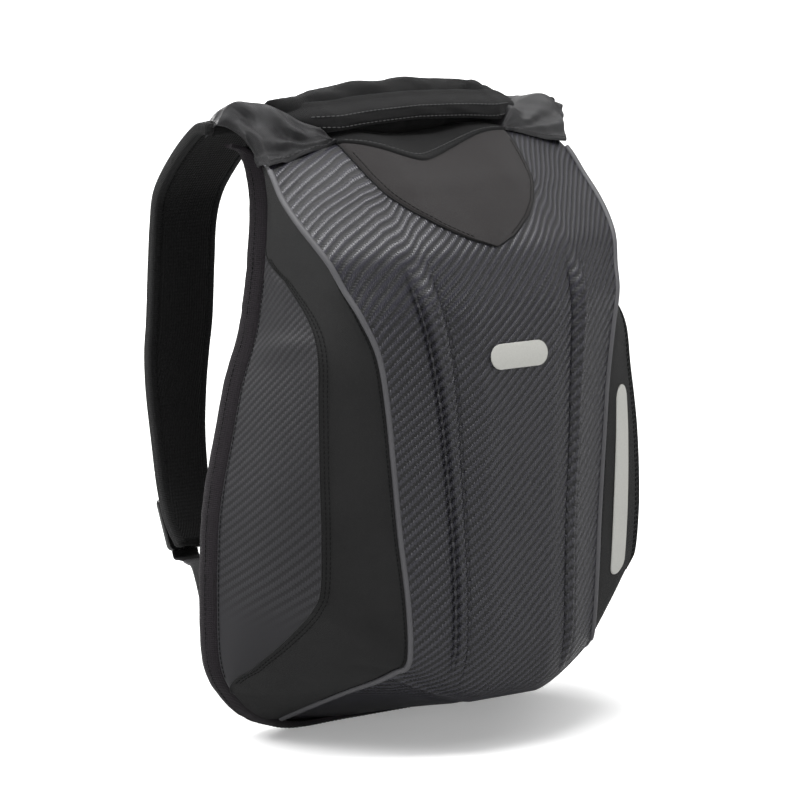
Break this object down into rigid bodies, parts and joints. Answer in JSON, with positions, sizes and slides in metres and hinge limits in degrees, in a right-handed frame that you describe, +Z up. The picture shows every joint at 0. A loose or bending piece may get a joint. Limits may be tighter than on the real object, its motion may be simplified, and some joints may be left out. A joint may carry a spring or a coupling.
{
  "type": "hard shell backpack",
  "caption": "Streamlined backpack with a moulded ribbed front shell, soft side panels, bound back panel, top grab handle and two padded shoulder straps.",
  "frame": {"origin": "middle of the back panel's rear face, where it lies on the wearer's back", "axes": "+Z up, +Y out of the back panel towards the wearer, the moulded shell faces -Y"},
  "size_m": [0.374, 0.2703, 0.5194],
  "materials": {
    "carbon_shell": "moulded carbon look twill, satin",
    "side_cloth": "plain woven nylon, matte",
    "embossed_cloth": "twill embossed, fading to smooth below",
    "cover_cloth": "woven nylon, slightly shiny",
    "patch_cloth": "brushed brown black cloth",
    "binding_tape": "ribbed tape, stitched",
    "grey_piping": "grey satin piping",
    "padded_mesh": "ribbed air mesh over foam",
    "webbing": "flat woven webbing",
    "buckle_plastic": "moulded nylon, satin",
    "reflective_print": "off-white reflective"
  },
  "bodies": {
    "root": {"shell": "carbon_shell", "back_panel": "padded_mesh", "edge_binding": "binding_tape", "yoke_pad": "cover_cloth", "top_cover": "cover_cloth", "front_patch": "patch_cloth", "grab_handle": "cover_cloth", "front_reflector": "reflective_print", "side_reflector": "reflective_print", "side_panel_left": "side_cloth", "side_panel_right": "side_cloth", "side_gusset_left": "embossed_cloth", "side_gusset_right": "embossed_cloth", "piping_left": "grey_piping", "piping_right": "grey_piping", "shoulder_cap_left": "cover_cloth", "shoulder_cap_right": "cover_cloth", "shoulder_strap_left": "padded_mesh", "shoulder_strap_right": "padded_mesh", "ladder_buckle_left": "buckle_plastic", "ladder_buckle_right": "buckle_plastic", "buckle_anchor_left": "webbing", "buckle_anchor_right": "webbing", "webbing_left": "webbing", "webbing_right": "webbing", "strap_tab_left": "cover_cloth", "strap_tab_right": "cover_cloth"}
  },
  "joints": []
}
